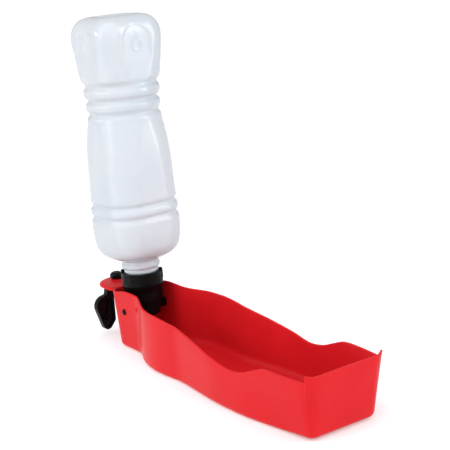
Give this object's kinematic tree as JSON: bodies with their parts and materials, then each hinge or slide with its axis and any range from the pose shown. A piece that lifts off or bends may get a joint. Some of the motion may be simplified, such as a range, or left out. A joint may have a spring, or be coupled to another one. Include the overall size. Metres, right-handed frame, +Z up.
{
  "type": "rabbit water bottle",
  "caption": "Small animal travel drinking bottle: a squeeze bottle in a screw socket that folds on an axle into a long water trough, with a flange and swivelling belt clip.",
  "frame": {"origin": "on the base plane, straight under the fold axle, midway between the trough's side walls", "axes": "+X along the trough from the hinge to the end wall, +Y to the left side wall, +Z up"},
  "size_m": [0.2928, 0.0788, 0.2687],
  "materials": {
    "red_plastic": "injection moulded, glossy",
    "black_plastic": "injection moulded, satin",
    "milky_plastic": "blow moulded, translucent",
    "silicone": "soft, matt"
  },
  "bodies": {
    "base": {"trough": "red_plastic", "axle_pin": "black_plastic", "axle_cap": "black_plastic", "clip_stud": "black_plastic", "stud_retainer": "black_plastic"},
    "socket": {"socket": "black_plastic", "neck_gasket": "silicone", "slit_valve": "silicone"},
    "bottle": {"bottle": "milky_plastic"},
    "clip": {"belt_clip": "black_plastic"}
  },
  "joints": [
    {"name": "bottle_fold", "type": "hinge", "parent": "base", "child": "socket", "pos_m": [0, 0, 0.0315], "axis": [0, 1, 0], "range_deg": [0, 91.5]},
    {"name": "bottle_unscrew", "type": "hinge", "parent": "socket", "child": "bottle", "pos_m": [0, 0, 0.0315], "axis": [-0.0698, 0, 0.9976], "range_deg": [0, 360]},
    {"name": "clip_swivel", "type": "hinge", "parent": "base", "child": "clip", "pos_m": [-0.0415, 0, 0.0415], "axis": [0, 0, 1], "range_deg": [-225, 45]}
  ]
}
